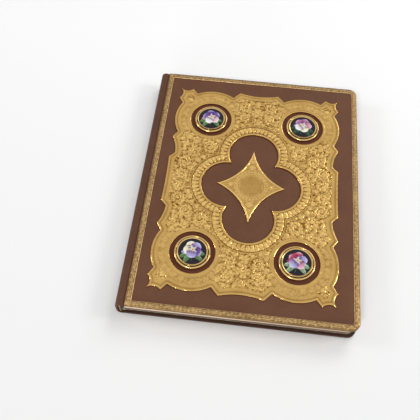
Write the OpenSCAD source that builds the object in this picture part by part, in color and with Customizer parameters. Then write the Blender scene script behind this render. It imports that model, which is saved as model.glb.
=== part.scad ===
// Leather-bound blank book lying on its back cover: a chased gilt plate with four enamel
// medallions and a gilt border on the front cover, square-backed spine, gilt page edges.
// X runs from the spine to the fore edge, Y from tail to head, Z up from the surface it lies on.

/* [Book] */
// Width over the covers, from the back of the spine to the fore edge
book_w = 237; // [180:1:300]
// Height of the covers from tail to head
book_h = 300; // [284:1:380]
// Thickness of the page block
block_t = 15; // [8:0.5:40]
// How far the covers stand out past the pages
square_w = 3; // [1:0.5:6]
// Corner radius of the covers at the fore edge
corner_r = 9; // [7.5:0.5:20]
// Corner radius of the pages at the fore edge
page_corner_r = 7; // [1:0.5:15]

/* [Binding] */
// Thickness of the covering leather
leather_t = 0.8; // [0.5:0.1:1.5]
// Thickness of each cover board
board_t = 2.2; // [1.5:0.1:4]
// Thickness of the endpapers
paper_t = 0.3; // [0.15:0.05:0.6]
// Width of the leather turned in over the inside of the boards
turn_in_w = 15; // [8:1:25]
// Margin of turned-in leather left showing round each pastedown
margin_w = 4; // [2:0.5:10]
// Depth of the spine piece, from its outer face to the hinge line
spine_d = 8.6; // [7:0.1:14]
// Outer radius of the two long edges of the spine
spine_r = 5.5; // [3:0.1:6.5]
// Thickness of the stiff inlay inside the spine leather
inlay_t = 1.2; // [0.6:0.1:2]
// Thickness of the gauze and paper lining on the back of the pages
lining_t = 0.5; // [0.3:0.1:1]
// Width of the flexible joint between the spine leather and a cover
joint_w = 1; // [0.6:0.1:2]
// Radius of the endbands at the head and tail of the page block
endband_r = 1.1; // [0.6:0.1:1.4]

/* [Gilt border] */
// Width of the gilt border round the front cover
border_w = 6; // [4:0.5:7]
// Height of the border's crest above the leather
border_h = 0.9; // [0.4:0.1:2]
// How far the border rolls down over the outer edges of the cover
border_roll = 2.4; // [1:0.1:3]
// Thickness of the border where it covers those edges
border_t = 0.7; // [0.4:0.1:1.2]
// Leather left between the hinge line and the border
border_gap = 1.2; // [0.8:0.1:4]

/* [Gilt plate] */
// Overall width of the chased plate
plate_w = 188; // [184:1:194]
// Overall height of the chased plate
plate_h = 258; // [254:1:264]
// Thickness of the plate under its relief
plate_t = 1.2; // [0.8:0.1:2]
// Height of the raised rims and ornament above the plate
relief_h = 0.6; // [0.3:0.1:1]
// Width of the raised rim that follows the plate's outline
rim_w = 1.6; // [1:0.1:2.5]
// Shift of the plate from the middle of the book towards the fore edge
plate_shift = 2.6; // [0:0.1:5]
// Shift of the plate towards the tail
plate_drop = 1; // [0:0.1:3]
// Radius of the rounded bulges that surround the medallions
bulge_r = 42; // [40.5:0.5:43]
// Distance of the small pointed ears from each corner tip
ear_d = 15; // [14:0.5:16.5]
// Depth of the bites between an ear and the corner tip
bite_d = 3.4; // [1:0.1:4]
// Half the width of the middle stretch at the head and tail
mid_x = 22.5; // [18:0.5:25]
// Half the height of the middle stretch at the sides
mid_y = 28.4; // [22:0.1:32]
// How far the middle stretches at the head and tail are hollowed
head_hollow = 3.4; // [2:0.1:5]
// How far the middle stretches at the sides are hollowed
side_hollow = 0.6; // [0:0.1:2]
// Inward step beside the middle stretch of each side
side_step = 6; // [4:0.5:8]
// Length of the shoulder between that step and the bulge
shoulder_l = 28; // [26:0.5:29]
// How far the shoulder is hollowed
shoulder_sag = 1.4; // [0.5:0.1:2.5]

/* [Quatrefoil opening] */
// Distance of the head and tail lobes from the plate's centre
lobe_y = 41.3; // [38:0.1:43]
// Radius of the head and tail lobes
lobe_y_r = 27.6; // [25:0.1:29]
// Distance of the two side lobes from the plate's centre
lobe_x = 26.2; // [24:0.1:28]
// Radius of the two side lobes
lobe_x_r = 28; // [26:0.1:30]
// Width of the plain lip round the opening
lip_w = 1.8; // [1:0.1:2.5]
// Length of the petals in the border round the opening
petal_l = 8; // [5:0.5:9]
// Distance from petal to petal along the opening
petal_pitch = 4.6; // [3.5:0.1:8]
// Width of the fillet that closes the petal border outside
fillet_w = 1.2; // [0.8:0.1:2]

/* [Scrollwork] */
// Width of the scrolls' stems
stem_w = 1.3; // [0.8:0.1:1.6]
// Distance from turn to turn of a scroll
coil_pitch = 4.3; // [3.8:0.1:6]
// Radius of the button in the middle of a scroll
button_r = 1.1; // [0.8:0.1:1.5]
// Length of the leaflets round a scroll
leaflet_l = 2.3; // [1.5:0.1:2.6]
// Distance from leaflet to leaflet
leaflet_pitch = 4.4; // [3.5:0.1:8]

/* [Star plate] */
// Height of the four-pointed star in the opening
star_h = 92; // [80:1:100]
// Width of the star
star_w = 73; // [60:1:80]
// How far the sides of the star are hollowed
star_sag = 7.4; // [4:0.1:9]
// Radius of the plain round field in the middle of the star
star_field_r = 14.5; // [8:0.5:16]

/* [Medallions] */
// Distance between medallion centres across the cover
med_dx = 106; // [104:0.5:108]
// Distance between medallion centres from tail to head
med_dy = 171; // [169:0.5:173]
// Radius of the round holes in the plate
med_hole_r = 23.6; // [21:0.1:25]
// Outer radius of the bezels
bezel_r = 18.8; // [17:0.1:20]
// Height of the bezel's lip above the leather
bezel_h = 3.2; // [2.4:0.1:4]
// Visible radius of the enamels
enamel_r = 14.4; // [12:0.1:15]
// Rise of the enamel's dome above the bezel's lip
dome_h = 0.9; // [0.3:0.1:2]

/* [Hidden] */

glue = 0.05;     // glue line left between two glued faces
rest_gap = 0.1;  // play between a closed cover and the flyleaf under it
sink = 0.1;      // how deep an ornament is rooted in its plate
seat_w = 0.6;    // width of the seat under the bezel's lip
seat_drop = 0.9; // depth of that seat below the lip's top
lip_wall = 0.3;  // depth of the upright wall inside the lip
floor_t = 0.5;   // thickness of the bezel's floor
ring_r = 1.3;    // radius of the rolled ring round the bezel
lip_t = 1.2;     // thickness of the bezel's lip
groove_z = 1.2;  // height of the groove between ring and lip
over = 1;        // how far a cutter passes the faces that it cuts

half_w = book_w / 2;
half_h = book_h / 2;
cover_t = 2 * leather_t + board_t + paper_t;
block_z = cover_t + rest_gap;
top_z = 2 * block_z + block_t;
hinge_x = spine_d - half_w;
cover_x = hinge_x + joint_w / 2;
spine_end_x = hinge_x - joint_w / 2;
border_x = hinge_x + border_gap;
inlay_off = leather_t + glue;
lining_off = inlay_off + inlay_t + glue;
back_off = lining_off + lining_t + glue;
page_half_h = half_h - square_w;
page_x = half_w - square_w;
plate_z = top_z + glue;
med_x = med_dx / 2;
med_y = med_dy / 2;
plate_half_w = plate_w / 2;
plate_half_h = plate_h / 2;

// Where a bulge's arc round its medallion starts and ends: at the head's middle stretch, at
// the two ears and at the side's shoulder
bulge_head_a = 123;
ear_head_a = 61;
ear_side_a = 30;
bulge_side_a = -31;

// Scrolls of one quarter of the plate, as centre, size, angle of the root and hand. They
// stand below the middle of the head edge and beside the middle of the fore edge.
SCROLLS = [
    [[14.5, plate_half_h - 21], 8, 205, 1],
    [[14, plate_half_h - 37.5], 7.4, 150, -1],
    [[plate_half_w - 44, 46], 9, 20, 1],
    [[plate_half_w - 27.5, 38], 8.6, 160, -1],
    [[plate_half_w - 16.5, 48.5], 5, 200, 1],
    [[plate_half_w - 28.5, 54.5], 5.6, 260, 1],
    [[plate_half_w - 17.5, 24], 8.4, 100, 1],
    [[plate_half_w - 17.2, 8], 7.6, 90, -1]];

// Rosettes below the middle of the head edge, as depth below it, size and number of petals
ROSETTES = [[28.5, 7.4, 8], [41.4, 5.3, 6], [15.8, 4.4, 6]];

leather_colour = "#6f4e3c";
gold_colour = "#c39a5b";
border_colour = "#a08250";
paper_colour = "#efe6d3";
board_colour = "#8d8478";

// Points of a circular arc from angle a0 to a1.
function arc(centre, r, a0, a1, n) =
    [for (i = [0:n]) let (a = a0 + (a1 - a0) * i / n) centre + r * [cos(a), sin(a)]];

// Points of a shallow curve from p to q that leaves the chord by sag at its middle.
function bow(p, q, sag, n) =
    let (side = [p.y - q.y, q.x - p.x] / norm(q - p))
    [for (i = [0:n]) let (t = i / n) p + (q - p) * t + side * 4 * sag * t * (1 - t)];

function mirrored(points, sx, sy) = [for (p = points) [sx * p.x, sy * p.y]];
function reversed(points) = [for (i = [len(points) - 1:-1:0]) points[i]];

// Joins a quarter outline, drawn clockwise from the head to the fore edge, into a whole one.
function four_fold(quarter) = concat(quarter, reversed(mirrored(quarter, 1, -1)),
    mirrored(quarter, -1, -1), reversed(mirrored(quarter, -1, 1)));

// Outline of a cover from the joint at x0 to the fore edge at x1, with the two fore-edge
// corners rounded.
module cover_outline(x0, x1, y1, r) {
    translate([x0, -y1]) square([x1 - r - x0, 2 * y1]);
    translate([x1 - 2 * r, r - y1]) square([2 * r, 2 * (y1 - r)]);
    for (side = [-1, 1]) translate([x1 - r, side * (y1 - r)]) circle(r, $fn = 96);
}

// Solid from a section drawn in X and Z, centred on Y.
module along_y(length) {
    rotate([90, 0, 0]) linear_extrude(length, center = true) children();
}

// A cover's leather, drawn with its outer face at z = 0 and its inner face up. Inset is how
// far its edges stay inside the cover's outline.
module cover_leather(inset) {
    x1 = half_w - inset;
    y1 = half_h - inset;
    r1 = corner_r - inset;
    edge = leather_t;
    difference() {
        intersection() {
            linear_extrude(cover_t - paper_t) cover_outline(cover_x, x1, y1, r1);
            along_y(book_h + over) polygon(concat(
                arc([cover_x + edge, edge], edge, 180, 270, 8),
                [[half_w + over, 0], [half_w + over, cover_t], [cover_x, cover_t]]));
        }
        translate([0, 0, leather_t]) linear_extrude(board_t)
            cover_outline(cover_x + leather_t, x1 - leather_t, y1 - leather_t, r1 - leather_t);
        translate([0, 0, leather_t]) linear_extrude(cover_t) filler_outline(inset, 0);
    }
}

// The area inside the turned-in leather.
module filler_outline(inset, gap) {
    cover_outline(cover_x + turn_in_w + gap, half_w - inset - turn_in_w - gap,
        half_h - inset - turn_in_w - gap, 1);
}

// A cover's board, in the same position as its leather, made up level inside the turn-ins.
module cover_board(inset) {
    skin = leather_t + glue;
    translate([0, 0, skin]) linear_extrude(board_t - 2 * glue)
        cover_outline(cover_x + skin, half_w - inset - skin, half_h - inset - skin,
            corner_r - inset - skin);
    translate([0, 0, skin]) linear_extrude(board_t + leather_t - 2 * glue)
        filler_outline(inset, glue);
}

// The endpaper leaf that is pasted to the inside of a cover.
module cover_pastedown() {
    translate([0, 0, cover_t - paper_t + glue]) linear_extrude(paper_t - glue)
        cover_outline(cover_x + glue, half_w - margin_w, half_h - margin_w,
            max(corner_r - margin_w, 1));
}

// Turns a cover drawn outer face down into the front cover.
module as_front() {
    translate([0, 0, top_z]) mirror([0, 0, 1]) children();
}

// Section of the spine as far as x_end, off inside its outer faces.
module spine_section(off, x_end) {
    r = spine_r - off;
    x0 = off - half_w;
    translate([x0 + r, off]) square([x_end - x0 - r, top_z - 2 * off]);
    translate([x0, off + r]) square([x_end - x0, top_z - 2 * (off + r)]);
    intersection() {
        for (z = [off + r, top_z - off - r]) translate([x0 + r, z]) circle(r, $fn = 64);
        translate([x0 - over, 0]) square([r + 2 * over, top_z]);
    }
}

// One wrapped layer of the spine between two depths, cut off at the joints.
module spine_layer(off, t, length) {
    difference() {
        along_y(length) spine_section(off, spine_end_x);
        along_y(length + over) spine_section(off + t, spine_end_x + over);
    }
}

module pages() {
    low_z = block_z + paper_t + glue;
    color(paper_colour) intersection() {
        along_y(2 * page_half_h) {
            spine_section(back_off, spine_end_x);
            translate([spine_end_x - over, low_z])
                square([page_x - spine_end_x + over, top_z - 2 * low_z]);
        }
        linear_extrude(top_z) cover_outline(-half_w, page_x, page_half_h, page_corner_r);
    }
}

module flyleaf() {
    linear_extrude(paper_t)
        cover_outline(spine_end_x + glue, page_x, page_half_h, page_corner_r);
}

module front_flyleaf() {
    color(paper_colour) translate([0, 0, top_z - block_z - paper_t]) flyleaf();
}

module back_flyleaf() {
    color(paper_colour) translate([0, 0, block_z]) flyleaf();
}

// Worked silk band that closes the end of the page block at the spine.
module endband(side) {
    color("#b08a4e") translate([-half_w + back_off + endband_r + glue,
        side * (page_half_h + endband_r + glue), block_z])
        cylinder(h = block_t, r = endband_r, $fn = 32);
}

module head_band() { endband(1); }

module tail_band() { endband(-1); }

module spine_lining() {
    color("#d8d0c0") spine_layer(lining_off, lining_t, 2 * page_half_h);
}

module spine_inlay() {
    color(board_colour) spine_layer(inlay_off, inlay_t, 2 * page_half_h);
}

module spine_leather() {
    color(leather_colour) {
        spine_layer(0, leather_t, book_h);
        // leather folded in over the ends of the inlay
        cap_l = half_h - page_half_h - glue;
        for (side = [-1, 1]) translate([0, side * (half_h - cap_l / 2), 0])
            spine_layer(leather_t - sink, inlay_t + sink, cap_l);
    }
}

module front_leather() {
    color(leather_colour) as_front() cover_leather(border_t);
}

module front_board() {
    color(board_colour) as_front() cover_board(border_t);
}

module front_pastedown() {
    color(paper_colour) as_front() cover_pastedown();
}

module back_leather() {
    color(leather_colour) cover_leather(0);
}

module back_board() {
    color(board_colour) cover_board(0);
}

module back_pastedown() {
    color(paper_colour) cover_pastedown();
}

// Arched top of the border's section, from its outer edge to its inner edge.
function border_arch() =
    [for (a = [180:-15:0]) [border_w / 2 * (1 + cos(a)), border_h * sin(a) + glue]];

// Section of the border where it rolls over the edge of the cover.
function border_section() = concat(border_arch(),
    [[border_w, glue], [border_t - glue, glue], [border_t - glue, -border_roll], [0, -border_roll]]);

// The border along the tail, mitred at the spine side.
module border_tail() {
    run_x = half_w - corner_r;
    intersection() {
        translate([border_x, -half_h, top_z]) rotate([90, 0, 90])
            linear_extrude(run_x - border_x) polygon(border_section());
        translate([0, 0, top_z - border_roll - over]) linear_extrude(border_roll + 4 * over)
            polygon([[border_x - over, -half_h - over], [run_x + over, -half_h - over],
                [run_x + over, -half_h + border_w + over],
                [border_x + border_w + over, -half_h + border_w + over]]);
    }
    translate([run_x, corner_r - half_h, top_z]) rotate([0, 0, -90])
        rotate_extrude(angle = 90, $fn = 96)
            polygon([for (p = border_section()) [corner_r - p.x, p.y]]);
}

module gilt_border() {
    side_l = book_h - 2 * corner_r;
    mitre = border_w + over;
    color(border_colour) union() {
        border_tail();
        mirror([0, 1, 0]) border_tail();
        translate([half_w, 0, top_z]) mirror([1, 0, 0]) along_y(side_l)
            polygon(border_section());
        intersection() {
            translate([border_x, 0, top_z]) along_y(book_h) polygon(border_arch());
            translate([border_x, 0, top_z - over]) linear_extrude(border_h + 2 * over)
                polygon([[-over, -half_h - over], [mitre, mitre - half_h],
                    [mitre, half_h - mitre], [-over, half_h + over]]);
        }
    }
}

// Outline of the chased plate: bulges round the medallions, pointed ears and corner tips,
// and hollowed middle stretches.
function plate_quarter() =
    let (pw = plate_half_w, ph = plate_half_h, n = 5)
    concat(
        [for (i = [0:n]) [mid_x * i / n, ph - head_hollow * (1 - pow(i / n, 2))]],
        arc([med_x, med_y], bulge_r, bulge_head_a, ear_head_a, 16),
        bow([pw - ear_d, ph], [pw, ph], -bite_d, 8),
        bow([pw, ph], [pw, ph - ear_d], -bite_d, 8),
        arc([med_x, med_y], bulge_r, ear_side_a, bulge_side_a, 16),
        bow([pw, mid_y + shoulder_l], [pw - side_step, mid_y + side_step], -shoulder_sag, 6),
        [for (i = [n:-1:0]) [pw - side_hollow * (1 - pow(i / n, 2)), mid_y * i / n]]);

module plate_outline() {
    polygon(four_fold(plate_quarter()));
}

// Quatrefoil opening, grown by grow: four lobes round a diamond that joins their centres.
module quatrefoil(grow) {
    polygon([[lobe_x, 0], [0, lobe_y], [-lobe_x, 0], [0, -lobe_y]]);
    for (side = [-1, 1]) {
        translate([0, side * lobe_y]) circle(lobe_y_r + grow, $fn = 72);
        translate([side * lobe_x, 0]) circle(lobe_x_r + grow, $fn = 72);
    }
}

module at_medallions() {
    for (sx = [-1, 1], sy = [-1, 1]) translate([sx * med_x, sy * med_y]) children();
}

// Angle from a lobe's centre line to where its circle meets the neighbour's, both grown.
function lobe_limit(own_r, next_r, own_d, next_d, grow) =
    let (d = norm([own_d, next_d]), a = own_r + grow, b = next_r + grow)
    180 - atan2(next_d, own_d) - acos((d * d + a * a - b * b) / (2 * d * a));

// One petal of the border, pointing away from the centre of its lobe.
module petal(r) {
    root = 0.32 * petal_pitch;
    head = 0.44 * petal_pitch;
    polygon(concat([[r, -root]], arc([r + petal_l - head, 0], head, -75, 75, 3), [[r, root]]));
}

module lobe_petals(own_r, next_r, own_d, next_d) {
    r0 = own_r + lip_w;
    reach = lobe_limit(own_r, next_r, own_d, next_d, lip_w + petal_l);
    count = floor(2 * reach * PI / 180 * (r0 + petal_l / 2) / petal_pitch);
    step = 2 * reach / count;
    for (i = [0:count - 1]) rotate((i + 0.5) * step - reach) petal(r0 + 0.4);
}

module petal_border() {
    for (side = [0, 180]) rotate(side) {
        translate([lobe_x, 0]) lobe_petals(lobe_x_r, lobe_y_r, lobe_x, lobe_y);
        rotate(90) translate([lobe_y, 0]) lobe_petals(lobe_y_r, lobe_x_r, lobe_y, lobe_x);
    }
}

function spoke(r, a) = r * [cos(a), sin(a)];

// Radius of a scroll's middle line, from its root at t = 0 to its button at t = 1.
function coil_r(size, t) = 0.8 * button_r + (size - leaflet_l) * pow(1 - t, 0.85);

// A coiled stem with a button in its middle and leaflets round its outer turn.
module scroll(size) {
    turns = max(1.3, size / coil_pitch);
    n = round(8 * turns);
    half = stem_w / 2;
    polygon(concat(
        [for (i = [0:n]) spoke(coil_r(size, i / n) + half, 360 * turns * i / n)],
        [for (i = [n:-1:0]) spoke(coil_r(size, i / n) - half, 360 * turns * i / n)]));
    circle(button_r, $fn = 6);
    leaves = floor(2 * PI * (size - leaflet_l) / leaflet_pitch);
    for (i = [0:leaves - 1])
        let (t = i / leaves)
        rotate(360 * t) translate([coil_r(size, t / turns), 0]) leaflet(leaflet_l);
}

// One raked leaflet, rooted at the origin and pointing along X.
module leaflet(length) {
    root = 0.5 * stem_w;
    polygon([[0, -root], [0.6 * length, -root], [length + root, 1.6 * root], [0, root]]);
}

// A round flower: a button and a ring of blunt petals.
module flower(size, petals) {
    half = 0.75 * size * tan(150 / petals);
    circle(0.3 * size, $fn = 8);
    for (i = [0:petals - 1]) rotate(360 * (i + 0.5) / petals)
        polygon([[0.4 * size, -0.5 * half], [0.8 * size, -half], [size, 0], [0.8 * size, half],
            [0.4 * size, 0.5 * half]]);
}

// Scrolls and flowers over the whole plate.
module scrollwork() {
    for (sx = [0, 1], sy = [0, 1]) mirror([sx, 0]) mirror([0, sy])
        for (s = SCROLLS) translate(s[0]) rotate(s[2]) mirror([0, (1 - s[3]) / 2]) scroll(s[1]);
    for (side = [-1, 1], f = ROSETTES)
        translate([0, side * (plate_half_h - f[0])]) rotate(90) flower(f[1], f[2]);
}

module gold_plate() {
    fillet_in = lip_w + petal_l + 1;
    color(gold_colour) translate([plate_shift, -plate_drop, plate_z]) difference() {
        union() {
            linear_extrude(plate_t) plate_outline();
            translate([0, 0, plate_t - sink]) linear_extrude(relief_h + sink) {
                difference() {
                    plate_outline();
                    offset(delta = -rim_w) plate_outline();
                }
                quatrefoil(lip_w);
                at_medallions() circle(med_hole_r + lip_w, $fn = 60);
                difference() {
                    quatrefoil(fillet_in + fillet_w);
                    quatrefoil(fillet_in);
                }
            }
            translate([0, 0, plate_t - sink]) linear_extrude(relief_h * 0.8 + sink) {
                petal_border();
                scrollwork();
            }
        }
        translate([0, 0, -over]) linear_extrude(plate_t + relief_h + 2 * over) {
            quatrefoil(0);
            at_medallions() circle(med_hole_r, $fn = 60);
        }
    }
}

function star_quarter() = bow([0, star_h / 2], [star_w / 2, 0], -star_sag, 12);

module star_outline() {
    polygon(four_fold(star_quarter()));
}

module star_plate() {
    color(gold_colour) translate([plate_shift, -plate_drop, plate_z]) {
        linear_extrude(plate_t) star_outline();
        translate([0, 0, plate_t - sink]) linear_extrude(relief_h * 0.6 + sink) difference() {
            star_outline();
            offset(delta = -rim_w * 0.6) star_outline();
        }
        translate([0, 0, plate_t - sink]) linear_extrude(relief_h * 0.5 + sink) difference() {
            circle(star_field_r + fillet_w / 2, $fn = 96);
            circle(star_field_r - fillet_w / 2, $fn = 96);
        }
    }
}

// Gilt bezel: a shallow cup with a rolled outer ring, a groove and a lip over the enamel.
module bezel() {
    seat_r = enamel_r + seat_w;
    lip_r = enamel_r + glue;
    color(gold_colour) rotate_extrude($fn = 96) polygon(concat(
        [[0, 0], [bezel_r - ring_r, 0]],
        arc([bezel_r - ring_r, ring_r], ring_r, -90, 120, 10),
        [[bezel_r - 2 * ring_r, groove_z], [seat_r + lip_t, groove_z]],
        arc([seat_r + lip_t / 2, bezel_h - lip_t / 2], lip_t / 2, 0, 120, 5),
        [[lip_r, bezel_h - lip_wall], [lip_r, bezel_h - seat_drop],
            [seat_r, bezel_h - seat_drop], [seat_r, floor_t], [0, floor_t]]));
}

// Domed enamel plaque, held under the bezel's lip.
module enamel() {
    flange_r = enamel_r + seat_w - glue;
    flange_z = bezel_h - seat_drop - glue;
    wall_z = bezel_h - lip_wall;
    rise = dome_h + lip_wall;
    dome_r = (enamel_r * enamel_r + rise * rise) / (2 * rise);
    half_a = asin(enamel_r / dome_r);
    color("#26222e") rotate_extrude($fn = 96) polygon(concat(
        [[0, floor_t + glue], [flange_r, floor_t + glue], [flange_r, flange_z],
            [enamel_r, flange_z]],
        arc([0, wall_z + rise - dome_r], dome_r, 90 - half_a, 90, 12)));
}

module medallion_place(sx, sy) {
    translate([plate_shift + sx * med_x, sy * med_y - plate_drop, plate_z]) children();
}

module bezel_head_left() { medallion_place(-1, 1) bezel(); }

module bezel_head_right() { medallion_place(1, 1) bezel(); }

module bezel_tail_left() { medallion_place(-1, -1) bezel(); }

module bezel_tail_right() { medallion_place(1, -1) bezel(); }

module enamel_head_left() { medallion_place(-1, 1) enamel(); }

module enamel_head_right() { medallion_place(1, 1) enamel(); }

module enamel_tail_left() { medallion_place(-1, -1) enamel(); }

module enamel_tail_right() { medallion_place(1, -1) enamel(); }

pages();
front_flyleaf();
back_flyleaf();
head_band();
tail_band();
spine_lining();
spine_inlay();
spine_leather();
front_board();
front_leather();
front_pastedown();
gilt_border();
gold_plate();
star_plate();
bezel_head_left();
bezel_head_right();
bezel_tail_left();
bezel_tail_right();
enamel_head_left();
enamel_head_right();
enamel_tail_left();
enamel_tail_right();
back_board();
back_leather();
back_pastedown();
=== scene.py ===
import math

import bpy
import numpy as np
from mathutils import Matrix, Vector, noise
from mathutils.geometry import delaunay_2d_cdt


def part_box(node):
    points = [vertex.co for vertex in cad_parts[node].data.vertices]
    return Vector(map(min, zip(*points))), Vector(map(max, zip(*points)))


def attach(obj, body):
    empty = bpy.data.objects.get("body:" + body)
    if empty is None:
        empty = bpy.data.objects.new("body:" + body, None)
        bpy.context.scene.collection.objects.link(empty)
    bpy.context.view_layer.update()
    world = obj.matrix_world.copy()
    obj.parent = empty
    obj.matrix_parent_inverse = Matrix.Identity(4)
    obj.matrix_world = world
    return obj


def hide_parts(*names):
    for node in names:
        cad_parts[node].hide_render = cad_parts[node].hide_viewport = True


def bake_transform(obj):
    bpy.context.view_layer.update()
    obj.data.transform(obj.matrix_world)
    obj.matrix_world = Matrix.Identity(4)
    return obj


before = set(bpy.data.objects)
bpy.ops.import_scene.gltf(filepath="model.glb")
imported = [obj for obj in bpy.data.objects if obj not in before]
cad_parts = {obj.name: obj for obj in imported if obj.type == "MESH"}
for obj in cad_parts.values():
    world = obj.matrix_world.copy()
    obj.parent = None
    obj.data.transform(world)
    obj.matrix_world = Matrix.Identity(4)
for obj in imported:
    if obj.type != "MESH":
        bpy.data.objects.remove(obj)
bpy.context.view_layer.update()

# Lengths below are in millimetres, in the frame's own axes, and become metres in add_piece().
MM = 0.001


def box_mm(node):
    """A node's lowest and highest corners in millimetres."""
    lo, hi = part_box(node)
    return np.array(lo) / MM, np.array(hi) / MM


# Levels and edges that the frame gives
FRONT_LO, FRONT_HI = box_mm("front_leather")
BACK_LO, BACK_HI = box_mm("back_leather")
SPINE_LO, SPINE_HI = box_mm("spine_leather")
BORDER_LO, BORDER_HI = box_mm("gilt_border")
PLATE_LO, _ = box_mm("gold_plate")
STAR_LO, STAR_HI = box_mm("star_plate")
PAGES_LO, PAGES_HI = box_mm("pages")
LEAF_LO, _ = box_mm("front_flyleaf")
_, BACK_LEAF_HI = box_mm("back_flyleaf")
TOP_Z = FRONT_HI[2]
COVER_HALF_H = BORDER_HI[1]
PLATE_X, PLATE_Y = (STAR_LO[:2] + STAR_HI[:2]) / 2

# Sizes that the part's own source names
PLATE_W, PLATE_H, PLATE_T = 188.0, 258.0, 1.2
BULGE_R, EAR_D, BITE_D = 42.0, 15.0, 3.4
MID_X, MID_Y = 22.5, 28.4
HEAD_HOLLOW, SIDE_STEP, SIDE_HOLLOW = 3.4, 6.0, 0.6
LOBE_Y, LOBE_Y_R = 41.3, 27.6
LOBE_X, LOBE_X_R = 26.2, 28.0
STAR_SAG = 7.4
MED_X, MED_Y, MED_HOLE_R = 53.0, 85.5, 23.6
BEZEL_R, BEZEL_H, ENAMEL_R = 18.8, 3.2, 14.4
DOME_H = 0.9
BEZEL_FLOOR_T, FLANGE_W, FLANGE_DEPTH, WALL_DEPTH = 0.5, 0.6, 0.9, 0.3
CORNER_R, PAGE_CORNER_R = 9.0, 7.0
BORDER_W, BORDER_H, BORDER_ROLL, VINE_PITCH = 6.0, 0.9, 2.4, 7.6
LEATHER_T, SPINE_R, INLAY_T = 0.8, 5.5, 1.2
GLUE = 0.05


# Camera and framing

FOCAL_PX = 554.7
PHOTO_PX = 420
SENSOR_MM = 36.0
CAMERA_AT = (-9.1, -321.5, TOP_Z + 512.5)
VIEW_RIGHT = (0.9935, 0.1135, 0.0070)
VIEW_DOWN = (0.1024, -0.8660, -0.4895)


def make_camera():
    data = bpy.data.cameras.new("camera")
    data.sensor_width = SENSOR_MM
    data.lens = FOCAL_PX / PHOTO_PX * SENSOR_MM
    data.clip_start = 0.01
    data.clip_end = 20
    camera = bpy.data.objects.new("camera", data)
    bpy.context.scene.collection.objects.link(camera)
    right = Vector(VIEW_RIGHT).normalized()
    up = -Vector(VIEW_DOWN).normalized()
    back = right.cross(up).normalized()
    up = back.cross(right)
    turn = Matrix((right, up, back)).transposed()
    camera.matrix_world = Matrix.Translation(Vector(CAMERA_AT) * MM) @ turn.to_4x4()
    bpy.context.scene.camera = camera


make_camera()


# Node helpers

def rgba(value):
    """A colour as a node takes it. A node's output stays as it is."""
    return value if isinstance(value, bpy.types.NodeSocket) else (*value, 1)


class Nodes:
    """Short calls for the nodes of one tree. What goes in is a value or a node's output."""

    def __init__(self, tree):
        self.tree = tree

    def node(self, kind, inputs=(), **settings):
        made = self.tree.nodes.new(kind)
        for key, value in settings.items():
            setattr(made, key, value)
        for key, value in dict(inputs).items():
            if isinstance(value, bpy.types.NodeSocket):
                self.tree.links.new(value, made.inputs[key])
            else:
                made.inputs[key].default_value = value
        return made

    def ramp(self, factor, *stops):
        """Colours at positions along a factor. A stop is (position, colour)."""
        made = self.node("ShaderNodeValToRGB", {"Fac": factor})
        elements = made.color_ramp.elements
        while len(elements) < len(stops):
            elements.new(0.5)
        for element, (position, color) in zip(elements, stops):
            element.position = position
            element.color = (*color, 1)
        return made.outputs["Color"]

    def span(self, factor, low, high, to_low, to_high):
        made = self.node("ShaderNodeMapRange", {
            "Value": factor, "From Min": low, "From Max": high,
            "To Min": to_low, "To Max": to_high})
        return made.outputs["Result"]

    def math(self, operation, first, second):
        return self.node("ShaderNodeMath", {0: first, 1: second}, operation=operation).outputs[0]

    def mix(self, factor, first, second):
        inputs = {0: factor, 6: rgba(first), 7: rgba(second)}
        return self.node("ShaderNodeMix", inputs, data_type="RGBA").outputs[2]

    def vector(self, operation, first, second=(0, 0, 0)):
        made = self.node("ShaderNodeVectorMath", {0: first, 1: second}, operation=operation)
        return made.outputs["Value" if operation == "LENGTH" else "Vector"]


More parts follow.
